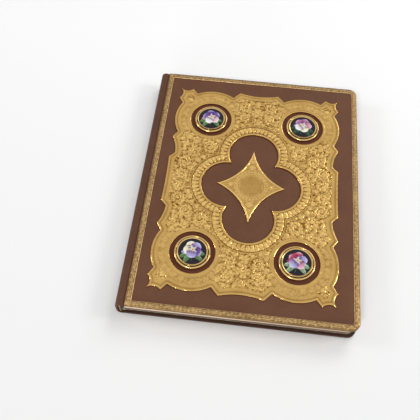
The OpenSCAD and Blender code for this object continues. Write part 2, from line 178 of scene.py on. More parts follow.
class Shader(Nodes):
    """A material with a Principled shader and textures along the object's own axes."""

    def __init__(self, name, color, roughness, metallic=0.0, **sockets):
        self.material = bpy.data.materials.new(name)
        self.material.use_nodes = True
        super().__init__(self.material.node_tree)
        self.bsdf = self.tree.nodes["Principled BSDF"]
        self.bsdf.inputs["Base Color"].default_value = (*color, 1)
        self.bsdf.inputs["Roughness"].default_value = roughness
        self.bsdf.inputs["Metallic"].default_value = metallic
        for socket, value in sockets.items():
            self.bsdf.inputs[socket.replace("_", " ")].default_value = value
        self.material.diffuse_color = (*color, 1)
        self.coords = self.node("ShaderNodeTexCoord").outputs["Object"]

    def scaled(self, x, y, z):
        made = self.node("ShaderNodeMapping", {"Vector": self.coords, "Scale": (x, y, z)})
        return made.outputs["Vector"]

    def noise(self, size_mm, detail=3.0, rough=0.55, vector=None, distortion=0.0):
        """Noise whose blobs are about size_mm across."""
        made = self.node("ShaderNodeTexNoise", {
            "Vector": vector or self.coords, "Scale": 1 / (size_mm * MM), "Detail": detail,
            "Roughness": rough, "Distortion": distortion})
        return made.outputs["Fac"]

    def voronoi(self, size_mm, feature="F1", vector=None):
        made = self.node("ShaderNodeTexVoronoi",
                         {"Vector": vector or self.coords, "Scale": 1 / (size_mm * MM)},
                         feature=feature)
        return made.outputs["Distance"]

    def attribute(self, name):
        return self.node("ShaderNodeAttribute", attribute_name=name)

    def circle_gap(self, x, y, radius):
        """Metres beyond a circle that stands in each quarter of the plate."""
        place = self.vector("SUBTRACT", self.coords, (PLATE_X * MM, PLATE_Y * MM, 0))
        folded = self.vector("ABSOLUTE", place)
        offset = self.vector("SUBTRACT", folded, (x * MM, y * MM, 0))
        flat = self.vector("MULTIPLY", offset, (1, 1, 0))
        return self.math("SUBTRACT", self.vector("LENGTH", flat), radius * MM)

    def near_openings(self):
        """Mask for painted shade: one in the plate's round openings and in a line along the edge
        of its four lobes.
        """
        hole = self.span(self.circle_gap(MED_X, MED_Y, MED_HOLE_R), 1.5 * MM, 0, 0, 1)
        lobes = self.math("MINIMUM", self.circle_gap(0, LOBE_Y, LOBE_Y_R),
                          self.circle_gap(LOBE_X, 0, LOBE_X_R))
        inner = self.span(lobes, -1.7 * MM, -0.5 * MM, 0, 1)
        outer = self.span(lobes, 1.5 * MM, 3 * MM, 1, 0)
        return self.math("MAXIMUM", hole, self.math("MULTIPLY", inner, outer))

    def color(self, output):
        self.tree.links.new(output, self.bsdf.inputs["Base Color"])

    def roughness(self, output):
        self.tree.links.new(output, self.bsdf.inputs["Roughness"])

    def bump(self, *layers):
        """Bump from (height output, depth in millimetres) layers."""
        normal = None
        for height, depth in layers:
            inputs = {"Height": height, "Strength": 1.0, "Distance": depth * MM}
            if normal is not None:
                inputs["Normal"] = normal
            normal = self.node("ShaderNodeBump", inputs).outputs["Normal"]
        self.tree.links.new(normal, self.bsdf.inputs["Normal"])


def srgb(r, g, b):
    """Linear colour of an 8-bit display colour."""
    def linear(v):
        v /= 255
        return v / 12.92 if v <= 0.04045 else ((v + 0.055) / 1.055) ** 2.4
    return linear(r), linear(g), linear(b)


# Materials

def leather_material(name, base, dark, opening_shade=None):
    """Smooth grained leather, with painted shade in the plate's round openings and along the edge
    of its lobes, in the colour given for it.
    """
    s = Shader(name, base, 0.5, Specular_IOR_Level=0.18)
    clouds = s.noise(26, 4, 0.6)
    fine = s.noise(1.6, 4, 0.6)
    tone = s.math("ADD", s.math("MULTIPLY", clouds, 0.7), s.math("MULTIPLY", fine, 0.3))
    color = s.ramp(tone, (0.3, dark), (0.72, base))
    # Painted shade: the leather darkens to the given colour where the plate's openings leave it in
    # shade.
    if opening_shade:
        color = s.mix(s.near_openings(), color, opening_shade)
    s.color(color)
    s.roughness(s.span(s.noise(3.0, 3), 0.3, 0.7, 0.44, 0.6))
    pores = s.voronoi(0.55, "DISTANCE_TO_EDGE")
    creases = s.noise(1.1, 5, 0.65)
    s.bump((s.noise(9, 2), 0.12), (creases, 0.06), (s.span(pores, 0, 0.25, 0, 1), 0.035))
    return s.material


def gilt_material(name, low, high, rough_low, rough_high, grain_mm, depth):
    """Gilt metal whose hollows are darker, from the mesh's own relief attribute."""
    s = Shader(name, high, rough_high, 1.0)
    relief = s.attribute("relief").outputs["Fac"]
    cloud = s.noise(14, 3)
    grain = s.noise(grain_mm, 4, 0.6)
    level = s.math("ADD", relief, s.math("MULTIPLY", s.math("SUBTRACT", grain, 0.5), 0.55))
    level = s.math("ADD", level, s.math("MULTIPLY", s.math("SUBTRACT", cloud, 0.5), 0.35))
    middle = tuple((a + b) / 2 for a, b in zip(low, high))
    tarnish = tuple(v * 0.5 for v in low)
    s.color(s.ramp(level, (0.0, tarnish), (0.15, low), (0.5, middle), (1, high)))
    s.roughness(s.span(grain, 0.3, 0.7, rough_low, rough_high))
    s.bump((s.noise(grain_mm * 2.2, 3), depth * 1.5), (grain, depth))
    return s.material


def paper_material(name, base):
    s = Shader(name, base, 0.85, Specular_IOR_Level=0.2)
    fibres = s.noise(2.2, 5, 0.7, s.scaled(1, 0.35, 1))
    tint = tuple(v * 0.94 for v in base)
    s.color(s.ramp(fibres, (0.3, tint), (0.7, base)))
    s.bump((fibres, 0.03), (s.noise(0.4, 3), 0.015))
    return s.material


def gilt_edge_material(name):
    """Gilt page edges: gold that the sheet lines break up, with painted shade at the foot of the
    block and towards the fore-edge.
    """
    s = Shader(name, srgb(250, 230, 208), 0.36, 0.12)
    lines = s.noise(0.5, 3, 0.7, s.scaled(0.02, 0.02, 1))
    streaks = s.noise(1.8, 3, 0.7, s.scaled(0.05, 0.05, 1))
    level = s.math("ADD", s.math("MULTIPLY", lines, 0.6), s.math("MULTIPLY", streaks, 0.4))
    gold = s.ramp(level, (0.34, srgb(226, 184, 142)), (0.6, srgb(255, 236, 212)))
    place = s.node("ShaderNodeSeparateXYZ", {0: s.coords})
    # Painted shade: the edges turn dark brown towards the bottom of the block, beside the back
    # cover.
    shade_foot_z = BACK_LEAF_HI[2] + 2.6
    foot = s.span(place.outputs["Z"], shade_foot_z * MM, (shade_foot_z + 2.2) * MM, 0.94, 0)
    # Painted shade: the gold dims from the spine towards the fore-edge.
    fore_edge_shade = s.span(place.outputs["X"], PAGES_LO[0] * MM, PAGES_HI[0] * MM, 0, 0.6)
    s.color(s.mix(foot, s.mix(fore_edge_shade, gold, srgb(176, 138, 104)), srgb(58, 38, 28)))
    s.roughness(s.span(streaks, 0.3, 0.7, 0.26, 0.45))
    s.bump((lines, 0.06))
    return s.material


def silk_material(name):
    s = Shader(name, srgb(170, 130, 70), 0.45, Sheen_Weight=0.4)
    tone = s.attribute("relief").outputs["Fac"]
    # The two thread colours are real turns of silk, and both are painted darker than the silk is,
    # as painted shade on the endband.
    s.color(s.ramp(tone, (0.35, srgb(66, 42, 28)), (0.65, srgb(150, 120, 78))))
    s.bump((s.noise(0.2, 3), 0.03))
    return s.material


def cloth_material(name):
    s = Shader(name, srgb(214, 206, 188), 0.9)
    weave = s.node("ShaderNodeTexWave", {"Vector": s.coords, "Scale": 900.0, "Distortion": 1.0})
    s.color(s.ramp(weave.outputs["Fac"], (0.2, srgb(186, 176, 156)), (0.8, srgb(224, 217, 202))))
    s.bump((weave.outputs["Fac"], 0.05))
    return s.material


def board_material(name):
    s = Shader(name, srgb(140, 132, 120), 0.9)
    s.color(s.ramp(s.noise(1.2, 5, 0.7), (0.3, srgb(122, 114, 102)), (0.7, srgb(156, 148, 136))))
    s.bump((s.noise(0.8, 4), 0.05))
    return s.material


def enamel_material(name):
    s = Shader(name, srgb(30, 26, 34), 0.1, Specular_IOR_Level=0.3)
    s.color(s.attribute("paint").outputs["Color"])
    s.bump((s.noise(2.5, 2), 0.02))
    return s.material


# The third colour is painted shade in the plate's openings.
LEATHER = leather_material("brown_leather", srgb(106, 71, 52), srgb(93, 61, 44),
                           srgb(86, 46, 28))
# The back cover is the same leather painted darker: painted shade, because its edge and ledge lie
# in shade.
BACK_SKIN = leather_material("back_leather_skin", srgb(66, 41, 28), srgb(55, 34, 23))
SPINE_SKIN = leather_material("spine_leather_skin", srgb(98, 66, 49), srgb(82, 54, 40))
PLATE_GOLD = gilt_material("chased_gilt", srgb(146, 98, 30), srgb(255, 213, 132), 0.13, 0.24,
                           0.7, 0.03)
BEZEL_GOLD = gilt_material("polished_gilt", srgb(88, 62, 28), srgb(226, 188, 122), 0.12, 0.22,
                           1.2, 0.008)
BORDER_GOLD = gilt_material("embossed_gilt", srgb(142, 112, 68), srgb(240, 202, 146), 0.34, 0.5,
                            0.6, 0.04)
EDGE_GOLD = gilt_edge_material("gilt_page_edges")
PAPER = paper_material("endpaper", srgb(238, 231, 214))
SILK = silk_material("endband_silk")
CLOTH = cloth_material("spine_gauze")
BOARD = board_material("grey_board")
ENAMEL = enamel_material("painted_enamel")


# Mesh helpers

def link_mesh(name, verts, faces, material):
    """A new mesh object in the scene, from points in metres."""
    mesh = bpy.data.meshes.new(name)
    mesh.from_pydata(verts, [], faces)
    mesh.materials.append(material)
    made = bpy.data.objects.new(name, mesh)
    bpy.context.scene.collection.objects.link(made)
    return made


def add_piece(name, verts, faces, body, material, nodes=(), smooth=True, attributes=()):
    """A piece that bends between two bodies is given no body here."""
    verts = np.asarray(verts, dtype=float) * MM
    faces = [tuple(int(i) for i in f) for f in faces]
    piece = link_mesh(name, verts.tolist(), faces, material)
    mesh = piece.data
    for key, values in dict(attributes).items():
        kind, field = ("FLOAT", "value") if np.ndim(values) == 1 else ("FLOAT_COLOR", "color")
        layer = mesh.attributes.new(key, kind, "POINT")
        layer.data.foreach_set(field, np.asarray(values, dtype=np.float32).ravel())
    mesh.validate()
    mesh.update()
    if smooth:
        mesh.polygons.foreach_set("use_smooth", [True] * len(mesh.polygons))
        mesh.set_sharp_from_angle(angle=math.radians(50))
    if body:
        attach(piece, body)
    if nodes:
        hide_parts(*nodes)
    return piece


def arc(centre, r, a0, a1, n):
    return [(centre[0] + r * math.cos(a), centre[1] + r * math.sin(a))
            for a in np.radians(np.linspace(a0, a1, n + 1))]


def bow(p, q, sag, n):
    """Points of a shallow curve from p to q that leaves the chord by sag at its middle."""
    p = np.array(p, dtype=float)
    q = np.array(q, dtype=float)
    side = np.array([p[1] - q[1], q[0] - p[0]]) / np.linalg.norm(q - p)
    return [tuple(p + (q - p) * t + side * 4 * sag * t * (1 - t))
            for t in np.linspace(0, 1, n + 1)]


def four_fold(quarter):
    flip = [(x, -y) for x, y in reversed(quarter)]
    half = quarter + flip
    return half + [(-x, -y) for x, y in half]


def spaced(points, step):
    """The closed outline with extra points so that none are further apart than step."""
    out = []
    for p, q in zip(points, points[1:] + points[:1]):
        p = np.array(p, dtype=float)
        q = np.array(q, dtype=float)
        length = np.linalg.norm(q - p)
        if length < 1e-6:
            continue
        n = max(1, math.ceil(length / step))
        out += [tuple(p + (q - p) * i / n) for i in range(n)]
    return out


def edge_distance(points, outline):
    """Distance from each point to a closed outline."""
    a = np.array(outline)
    b = np.roll(a, -1, axis=0)
    best = np.full(len(points), 1e9)
    for p, q in zip(a, b):
        d = q - p
        t = np.clip(((points - p) @ d) / max(d @ d, 1e-12), 0, 1)
        gap = points - p - t[:, None] * d
        best = np.minimum(best, np.einsum("ij,ij->i", gap, gap))
    return np.sqrt(best)


def inside(points, outline):
    """True for points inside a closed outline."""
    x, y = points[:, 0], points[:, 1]
    result = np.zeros(len(points), dtype=bool)
    for (x0, y0), (x1, y1) in zip(outline, outline[1:] + outline[:1]):
        if y0 == y1:
            continue
        crosses = (y0 > y) != (y1 > y)
        result ^= crosses & (x < (x1 - x0) * (y - y0) / (y1 - y0) + x0)
    return result


def split_triangles(verts, tris):
    """Splits each triangle into four."""
    edges = np.sort(np.vstack([tris[:, [0, 1]], tris[:, [1, 2]], tris[:, [2, 0]]]), axis=1)
    unique, where = np.unique(edges, axis=0, return_inverse=True)
    where = where.reshape(3, -1) + len(verts)
    middle = (verts[unique[:, 0]] + verts[unique[:, 1]]) / 2
    ab, bc, ca = where
    a, b, c = tris.T
    faces = np.vstack([np.c_[a, ab, ca], np.c_[ab, b, bc], np.c_[ca, bc, c], np.c_[ab, bc, ca]])
    return np.vstack([verts, middle]), faces


def hex_grid(lo, hi, pitch):
    row = pitch * math.sqrt(3) / 2
    rows = []
    for j in range(int((hi[1] - lo[1]) / row) + 1):
        xs = np.arange(lo[0] + (j % 2) * pitch / 2, hi[0], pitch)
        rows.append(np.c_[xs, np.full(len(xs), lo[1] + j * row)])
    return np.vstack(rows)


def fill_plate(outer, holes, pitch, splits, plain=None):
    """Triangles that fill an outline with holes, evenly spaced at a pitch before they are
    split, and wider spaced where plain(points) is true."""
    step = pitch * 1.1
    loops = [spaced(outer, step)] + [spaced(h, step) for h in holes]
    points, edges = [], []
    for loop in loops:
        base = len(points)
        points += loop
        edges += [(base + i, base + (i + 1) % len(loop)) for i in range(len(loop))]
    rim = np.array(points)
    lo, hi = rim.min(axis=0), rim.max(axis=0)
    grid = hex_grid(lo, hi, pitch)
    if plain:
        sparse = hex_grid(lo, hi, pitch * 1.5)
        grid = np.vstack([grid[~plain(grid)], sparse[plain(sparse)]])
    keep = inside(grid, loops[0]) & (edge_distance(grid, loops[0]) > pitch * 0.55)
    for hole in loops[1:]:
        keep &= ~inside(grid, hole) & (edge_distance(grid, hole) > pitch * 0.55)
    everything = [Vector(p) for p in points] + [Vector(p) for p in grid[keep]]
    out = delaunay_2d_cdt(everything, edges, [], 0, 1e-7, False)
    verts = np.array([tuple(v) for v in out[0]])
    tris = np.array([f for f in out[2] if len(f) == 3])
    centres = verts[tris].mean(axis=1)
    solid = inside(centres, loops[0])
    for hole in loops[1:]:
        solid &= ~inside(centres, hole)
    tris = tris[solid]
    for _ in range(splits):
        verts, tris = split_triangles(verts, tris)
    used, tris = np.unique(tris, return_inverse=True)
    verts = verts[used]
    tris = tris.reshape(-1, 3)
    a, b, c = (verts[tris[:, i]] for i in range(3))
    turned = np.cross(b - a, c - a) < 0
    tris[turned] = tris[turned][:, ::-1]
    return verts, tris


def raised_sheet(verts, tris, height, low):
    """Closes a sheet of triangles at the given heights down to a flat underside."""
    n = len(verts)
    top = np.c_[verts, height]
    bottom = np.c_[verts, np.full(n, low)]
    directed = np.vstack([tris[:, [0, 1]], tris[:, [1, 2]], tris[:, [2, 0]]])
    key = directed[:, 0] * n + directed[:, 1]
    back = directed[:, 1] * n + directed[:, 0]
    border = directed[~np.isin(key, back)]
    walls = [(a, a + n, b + n, b) for a, b in border]
    faces = [tuple(t) for t in tris] + [(a + n, c + n, b + n) for a, b, c in tris] + walls
    return np.vstack([top, bottom]), faces, n


def tube(rows):
    """Points and faces of a tube through closed rows of points, capped at both ends."""
    n = len(rows[0])
    verts = np.array(rows).reshape(-1, 3)
    last = len(verts) - n
    faces = [tuple(reversed(range(n)))]
    for a in range(0, last, n):
        for i in range(n):
            j = (i + 1) % n
            faces.append((a + i, a + j, a + n + j, a + n + i))
    faces.append(tuple(range(last, last + n)))
    return verts, faces


def flipped(faces):
    return [(f[0], *f[:0:-1]) for f in faces]


def waver(p, scale, seed):
    """Smooth noise at each point, with about one swell per 1 / scale."""
    return np.array([noise.noise(Vector((x * scale, y * scale, seed))) for x, y in p])


# Ornament of the plate, as heights over the plate's own face

def dome(distance, width):
    """Rounded ridge of unit height: distance from its middle, half its width."""
    return np.sqrt(np.clip(1 - (distance / width) ** 2, 0, 1))


def ease(value, low, high):
    t = np.clip((value - low) / (high - low), 0, 1)
    return t * t * (3 - 2 * t)


def off_middle(repeats):
    """Distance from the middle of a repeat, for a run counted in repeats."""
    return np.abs(repeats % 1.0 - 0.5)


def volute(p, centre, size, start, hand):
    """A coiled stem with a fringe of raked leaflets along it, of unit height."""
    out = np.zeros(len(p))
    d = p - np.array(centre)
    rho = np.hypot(d[:, 0], d[:, 1])
    near = rho < size * 1.04
    rho = rho[near]
    phi = np.arctan2(d[near, 1], d[near, 0])
    turns = max(1.3, size / COIL_PITCH)
    outer = size - LEAFLET_L
    along = ((phi - math.radians(start)) * hand / (2 * math.pi)) % 1.0
    h = dome(rho, COIL_EYE_R) * 1.05
    for turn in range(math.ceil(turns)):
        t = (along + turn) / turns
        gap = rho - outer * np.clip(1 - t, 0, 1) ** 0.85 - COIL_EYE_R * 0.8
        stem = dome(gap, STEM_R * (1 - 0.2 * t))
        reach = (gap - STEM_R * 0.55) / (LEAFLET_L * (0.9 if turn == 0 else 0.56))
        along_leaf = phi * hand * outer * 0.9 / LEAFLET_PITCH + 0.5 * reach
        across = off_middle(along_leaf)
        room = 0.44 * np.sqrt(np.clip(1 - np.clip(reach, 0, 1) ** 2.5, 0, 1))
        leaf = dome(across, np.maximum(room, 1e-3)) * ((reach > 0) & (reach < 1))
        h = np.maximum(h, (t <= 1) * np.maximum(stem, 0.72 * leaf))
    out[near] = h
    return out


def rosette(p, centre, size, petals):
    """A round flower of unit height: a button, a ring of petals and a ring of leaves."""
    d = p - np.array(centre)
    rho = np.hypot(d[:, 0], d[:, 1]) / size
    phi = np.arctan2(d[:, 0], d[:, 1]) * petals / (2 * math.pi)
    button = 1.1 * dome(rho, 0.18)
    inner = dome(off_middle(phi + 0.5), 0.42) * dome(rho - 0.4, 0.22)
    outer = dome(off_middle(phi), 0.4) * dome(rho - 0.72, 0.28) * 0.8
    return np.maximum(np.maximum(button, inner * (rho > 0.2)), outer * (rho > 0.45))


# Main volutes of one quarter of the plate, repeated in all four: centre, size, start, hand
VOLUTES = [
    ((14.5, 108.0), 8.0, 205, 1), ((14.0, 91.5), 7.4, 150, -1),
    ((50.0, 46.0), 9.0, 20, 1), ((66.5, 38.0), 8.6, 160, -1), ((77.5, 48.5), 5.0, 200, 1),
    ((65.5, 54.5), 5.6, 260, 1), ((76.5, 24.0), 8.4, 100, 1), ((76.8, 8.0), 7.6, 90, -1),
]
# Rosettes on the plate's long axis: centre, size, petals
ROSETTES = [((0.0, 100.5), 7.4, 8), ((0.0, 87.6), 5.3, 6), ((0.0, 113.2), 4.4, 6)]
COIL_PITCH, COIL_EYE_R = 4.6, 1.2
STEM_R = 0.72
LEAFLET_L, LEAFLET_PITCH = 2.8, 3.3
FILL_R, FILL_R_MIN = 3.4, 1.0
MARGIN_W = 6.6
BAND_W = 12.4
COLLAR_W = 4.2


def lobe_frame(p):
    """Distance outside the quatrefoil opening, and the run along its nearest lobe."""
    lobes = [((LOBE_X, 0), LOBE_X_R), ((0, LOBE_Y), LOBE_Y_R)]
    best = np.full(len(p), 1e9)
    run = np.zeros(len(p))
    for (cx, cy), r in lobes:
        dx, dy = p[:, 0] - cx, p[:, 1] - cy
        gap = np.hypot(dx, dy) - r
        closer = gap < best
        best = np.where(closer, gap, best)
        angle = np.arctan2(dy, dx) if cy == 0 else np.arctan2(dx, dy)
        run = np.where(closer, angle * (r + 5), run)
    return best, run


def medallion_gap(q):
    return np.hypot(q[:, 0] - MED_X, q[:, 1] - MED_Y) - MED_HOLE_R


def small_motifs(outline):
    """Small motifs, largest first, wherever the main ones leave room in a quarter."""
    step = 0.6
    xs, ys = np.meshgrid(np.arange(0, PLATE_W / 2, step), np.arange(0, PLATE_H / 2, step))
    p = np.c_[xs.ravel(), ys.ravel()]
    room = np.minimum(edge_distance(p, outline) - MARGIN_W, lobe_frame(p)[0] - BAND_W)
    room = np.minimum(room, medallion_gap(p) - COLLAR_W)
    room[~inside(p, outline)] = -1
    for coordinate in p.T:
        room = np.where(coordinate > step / 2, np.minimum(room, coordinate), room)
    for centre, size, *_ in VOLUTES + ROSETTES:
        room = np.minimum(room, np.hypot(*(p - np.array(centre)).T) - size)
    placed = []
    while room.max() > FILL_R_MIN:
        k = int(np.argmax(np.minimum(room, FILL_R)))
        r = min(room[k], FILL_R)
        placed.append((p[k], r))
        room = np.minimum(room, np.hypot(*(p - p[k]).T) - r)
    return placed


def ornament(q, motifs):
    """Scrolling foliage of unit height over one quarter, q."""
    h = np.zeros(len(q))
    for centre, size, start, hand in VOLUTES:
        h = np.maximum(h, volute(q, centre, size, start, hand))
    for centre, size, petals in ROSETTES:
        h = np.maximum(h, rosette(q, centre, size, petals))
    for k, (centre, r) in enumerate(motifs):
        if r > 2.2:
            h = np.maximum(h, 0.85 * volute(q, centre, r * 1.02, 90 * k, 1 - 2 * (k % 2)))
        elif r > 1.4:
            h = np.maximum(h, 0.8 * rosette(q, centre, r, 5))
        else:
            h = np.maximum(h, 0.7 * dome(np.hypot(*(q - centre).T), r * 0.8))
    return h


PETAL_PITCH = 4.6
FIELD_DEPTH, CORNER_DEPTH = 0.64, 0.26
RIM_H, LIP_H, FILLET_H, COLLAR_H, SCRIBED_H = 0.34, 0.42, 0.4, 0.4, 0.16
RELIEF_TOP = 0.7
HAND_DRIFT = 1.1


def tendrils(p):
    """Fine meandering tendrils that fill the ground between the motifs, of unit height."""
    return np.maximum(dome(waver(p, 0.3, 1.3), 0.14), 0.9 * dome(waver(p, 0.42, 7.9), 0.16))


def tooling(p):
    """Fine unevenness left by the chasing tools, from minus one to one."""
    return np.clip(1.5 * waver(p, 0.4, 5.1) + 1.1 * waver(p, 0.75, 2.7), -1, 1)


def petal_band(gap, run):
    """Tongues and darts round the quatrefoil opening, between its lip and its fillet."""
    across = off_middle(run / PETAL_PITCH)
    reach = np.clip((gap - 2.8) / 7.4, 0, 1)
    room = 0.42 * np.sqrt(np.clip(1 - np.abs(2 * reach - 1) ** 4, 0, 1))
    tongue = dome(across, np.maximum(room, 1e-3)) * (room > 0.02)
    tongue *= 1 - 0.4 * np.exp(-(across / 0.1) ** 2)
    dart = dome(off_middle(run / PETAL_PITCH + 0.5), 0.12) * ((gap > 6.5) & (gap < 10.4))
    return np.maximum((0.12 + 0.5 * tongue) * ((gap > 2.8) & (gap < 10.2)), 0.44 * dart)


def by_hand(p):
    """The points moved a little, so that what repeats on the plate isn't quite the same."""
    return p + HAND_DRIFT * np.c_[waver(p, 0.16, 3.1), waver(p, 0.16, 8.4)]


def corner_share(q):
    """One in the calmer corners beyond the medallions, and nought in the leafy fields."""
    outward = (q[:, 0] - MED_X) * 0.6 + (q[:, 1] - MED_Y) * 0.8
    return ease(outward, -6, 4) * (medallion_gap(q) < 12)


def plate_relief(p, edge, motifs):
    """Ornament height over the plate, for points given round its centre."""
    q = np.abs(p)
    gap, run = lobe_frame(q)
    med_gap = medallion_gap(q)
    rim = RIM_H * dome(edge - 0.9, 0.9) + SCRIBED_H * dome(edge - 5.6, 0.5)
    lip = LIP_H * dome(gap - 1.2, 1.2)
    fillet = FILLET_H * dome(gap - 11.6, 0.6)
    collar = COLLAR_H * dome(med_gap - 1.1, 1.1) + SCRIBED_H * dome(med_gap - 3.2, 0.5)
    corner = corner_share(q)
    field = ease(edge, MARGIN_W - 0.6, MARGIN_W) * ease(gap, BAND_W - 0.6, BAND_W)
    field *= ease(med_gap, COLLAR_W - 0.6, COLLAR_W)
    scrolls = ornament(np.abs(by_hand(p)), motifs)
    worked = tooling(p)
    ground = 0.12 + 0.18 * worked + 0.36 * tendrils(p)
    leafy = np.clip(0.6 * scrolls + ground * field, 0, 1)
    h = (FIELD_DEPTH + (CORNER_DEPTH - FIELD_DEPTH) * corner) * leafy
    for part in (rim, lip, petal_band(gap, run) * (1 + 0.35 * worked), fillet, collar):
        h = np.maximum(h, part)
    return np.minimum(h, RELIEF_TOP)


def plate_quarter():
    pw, ph = PLATE_W / 2, PLATE_H / 2
    med = (MED_X, MED_Y)
    n = 5
    head = [(MID_X * i / n, ph - HEAD_HOLLOW * (1 - (i / n) ** 2)) for i in range(n + 1)]
    side = [(pw - SIDE_HOLLOW * (1 - (i / n) ** 2), MID_Y * i / n) for i in range(n, -1, -1)]
    return (head + arc(med, BULGE_R, 123, 61, 16)
            + bow((pw - EAR_D, ph), (pw, ph), -BITE_D, 8)
            + bow((pw, ph), (pw, ph - EAR_D), -BITE_D, 8)
            + arc(med, BULGE_R, 30, -31, 16)
            + bow((pw, MID_Y + 28), (pw - SIDE_STEP, MID_Y + SIDE_STEP), -1.4, 6)
            + side)


def circle_cut(own_c, own_r, next_c, next_r, sign):
    """Point where two circles meet, on the given side of the line between their centres."""
    a, b = np.array(own_c, dtype=float), np.array(next_c, dtype=float)
    d = np.linalg.norm(b - a)
    along = (d * d + own_r ** 2 - next_r ** 2) / (2 * d)
    off = math.sqrt(own_r ** 2 - along ** 2)
    u = (b - a) / d
    return a + u * along + sign * off * np.array([-u[1], u[0]])


def quatrefoil_quarter():
    """The opening's outline in one quarter, from the head lobe to the side lobe."""
    cusp = circle_cut((0, LOBE_Y), LOBE_Y_R, (LOBE_X, 0), LOBE_X_R, 1)
    a_head = math.degrees(math.atan2(cusp[1] - LOBE_Y, cusp[0]))
    a_side = math.degrees(math.atan2(cusp[1], cusp[0] - LOBE_X))
    return (arc((0, LOBE_Y), LOBE_Y_R, 90, a_head, 24)
            + arc((LOBE_X, 0), LOBE_X_R, a_side, 0, 22))


def add_chased(name, node, verts, tris, height, level):
    """Adds a plate with its top raised to the relief, and the gilding's brightness on it."""
    base = box_mm(node)[0][2]
    solid, faces, n = raised_sheet(verts, tris, base + PLATE_T + height, base)
    solid[:, :2] += (PLATE_X, PLATE_Y)
    add_piece(name, solid, faces, "front_cover", PLATE_GOLD, [node],
              attributes={"relief": np.r_[level, np.full(n, 0.5)]})


def make_plate():
    outline = four_fold(plate_quarter())
    opening = four_fold(quatrefoil_quarter())
    rounds = [arc((sx * MED_X, sy * MED_Y), MED_HOLE_R, 0, 354, 59)
              for sx in (-1, 1) for sy in (-1, 1)]

    def plain(p):
        return (edge_distance(p, outline) < MARGIN_W) | (medallion_gap(np.abs(p)) < COLLAR_W)

    def tone(height, p):
        """Brightness of the gilding: even on plain metal, darker in the chased hollows."""
        q = np.abs(p)
        chased = ~plain(p) & (lobe_frame(q)[0] > 2.4)
        groove = 0.3 * np.exp(-((edge_distance(p, outline) - 2.6) / 0.8) ** 2)
        worked = np.clip(0.04 + 0.3 * corner_share(q) + 1.55 * height, 0, 1)
        return np.where(chased, worked, 0.58 - groove)

    verts, tris = fill_plate(outline, [opening] + rounds, 2.15, 2, plain)
    height = plate_relief(verts, edge_distance(verts, outline), small_motifs(outline))
    add_chased("chased_plate", "gold_plate", verts, tris, height, tone(height, verts))


def star_relief(p, edge):
    rho = np.hypot(p[:, 0], p[:, 1])
    phi = np.arctan2(p[:, 1], p[:, 0])
    q = np.abs(p)
    rim = 0.36 * dome(edge - 0.9, 0.9) + 0.18 * dome(edge - 2.5, 0.4)
    ring = 0.24 * dome(rho - 15.0, 0.6) + 0.1 * dome(rho - 12.9, 0.35)
    beads = 30
    fringe = 0.24 * dome(off_middle(phi * beads / (2 * math.pi)), 0.42) * dome(rho - 17.3, 1.5)
    tip = np.zeros(len(p))
    for centre, size, petals in (((0, 23.5), 3.6, 6), ((0, 31), 2.2, 5), ((22.0, 0), 3.0, 6)):
        tip = np.maximum(tip, 0.34 * rosette(q, centre, size, petals))
    tip = np.maximum(tip, 0.2 * tendrils(q * 1.4)) * ease(edge, 2.8, 3.4)
    h = np.maximum(np.maximum(rim, ring), np.maximum(fringe * ease(edge, 2.8, 3.4), tip))
    brushed = 0.05 * waver(p * (3, 0.5), 1, 9)
    return np.where(rho < 12, 0.06 + brushed, h)


def make_star():
    w, h = (STAR_HI[0] - STAR_LO[0]) / 2, (STAR_HI[1] - STAR_LO[1]) / 2
    outline = four_fold(bow((0, h), (w, 0), -STAR_SAG, 12))
    verts, tris = fill_plate(outline, [], 1.6, 2)
    height = star_relief(verts, edge_distance(verts, outline))
    level = np.clip(0.34 + 1.7 * height, 0, 1)
    add_chased("chased_star", "star_plate", verts, tris, height, level)


make_plate()
make_star()


# Medallions

def revolve(profile, centre, base_z, segments):
    """Mesh turned from a profile of radius and height that starts and ends on the axis."""
    angles = np.linspace(0, 2 * math.pi, segments, endpoint=False)
    verts = [(centre[0], centre[1], base_z + profile[0][1])]
    for r, z in profile[1:-1]:
        verts += [(centre[0] + r * math.cos(a), centre[1] + r * math.sin(a), base_z + z)
                  for a in angles]
    verts.append((centre[0], centre[1], base_z + profile[-1][1]))
    faces = []
    last = len(verts) - 1
    rings = len(profile) - 2
    for i in range(segments):
        j = (i + 1) % segments
        faces.append((0, 1 + j, 1 + i))
        for k in range(rings - 1):
            a, b = 1 + k * segments, 1 + (k + 1) * segments
            faces.append((a + i, a + j, b + j, b + i))
        end = 1 + (rings - 1) * segments
        faces.append((end + i, end + j, last))
    return verts, faces


def bezel_profile():
    ring_r, lip_t, groove_z = 1.3, 1.2, 1.2
    seat_r = ENAMEL_R + FLANGE_W
    shelf_z = BEZEL_H - FLANGE_DEPTH
    lip_r = ENAMEL_R + GLUE
    ring = arc((BEZEL_R - ring_r, ring_r), ring_r, -90, 150, 16)
    lip = arc((seat_r + lip_t / 2, BEZEL_H - lip_t / 2), lip_t / 2, 0, 130, 10)
    return ([(0, 0)] + ring + [(seat_r + lip_t, groove_z)] + lip
            + [(lip_r, BEZEL_H - WALL_DEPTH), (lip_r, shelf_z), (seat_r, shelf_z),
               (seat_r, BEZEL_FLOOR_T), (0, BEZEL_FLOOR_T)])


# Colours of the enamels' own flowers: ground, leaf, then five petals from the top, clockwise
VIOLET = srgb(104, 82, 160)
LILAC = srgb(170, 160, 214)
WHITE = srgb(238, 232, 236)
PINK = srgb(214, 150, 178)
MAUVE = srgb(172, 104, 158)
MAGENTA = srgb(186, 62, 104)
CREAM = srgb(240, 232, 200)
BLUSH = srgb(232, 196, 206)
GREEN = srgb(112, 150, 96)
DEEP_GREEN = srgb(52, 96, 70)
PALE_GREEN = srgb(168, 196, 160)
YELLOW = srgb(232, 190, 80)
MAROON = srgb(84, 30, 56)
BROWN = srgb(110, 60, 40)
NIGHT = srgb(26, 22, 30)

